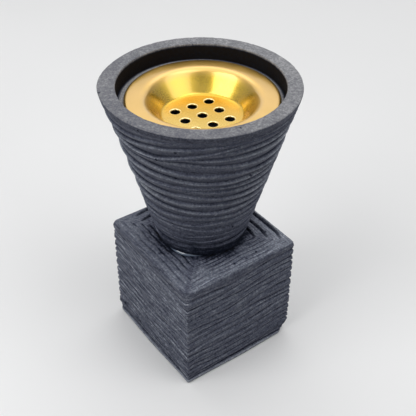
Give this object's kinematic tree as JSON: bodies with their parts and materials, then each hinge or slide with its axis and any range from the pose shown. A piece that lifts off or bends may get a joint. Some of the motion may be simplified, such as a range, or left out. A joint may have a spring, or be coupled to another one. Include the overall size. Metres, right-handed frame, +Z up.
{
  "type": "incense burner",
  "caption": "Mabkhara incense burner: a ridged round cast cup glued on a ridged cast block, with a loose perforated metal bowl that holds the charcoal over an ash well.",
  "frame": {"origin": "on the table, under the middle of the cup's rim", "axes": "+Z up; the block's front corner lies between +X and -Y, and the block's sides face along X and Y"},
  "size_m": [0.09, 0.09, 0.1443],
  "materials": {
    "cast_stone": "matte dark charcoal, fine grained, ridged like torn layers",
    "gold_metal": "satin gold, pressed sheet",
    "adhesive": "clear, glossy where it is squeezed out",
    "pad": "black felt"
  },
  "bodies": {
    "stand": {"block": "cast_stone", "cup": "cast_stone", "glue_joint": "adhesive", "pad_front": "pad", "pad_right": "pad", "pad_back": "pad", "pad_left": "pad"},
    "bowl": {"bowl": "gold_metal"}
  },
  "joints": [
    {"name": "bowl_lift", "type": "slide", "parent": "stand", "child": "bowl", "axis": [0, 0, 1], "range_m": [0, 0.045]}
  ]
}
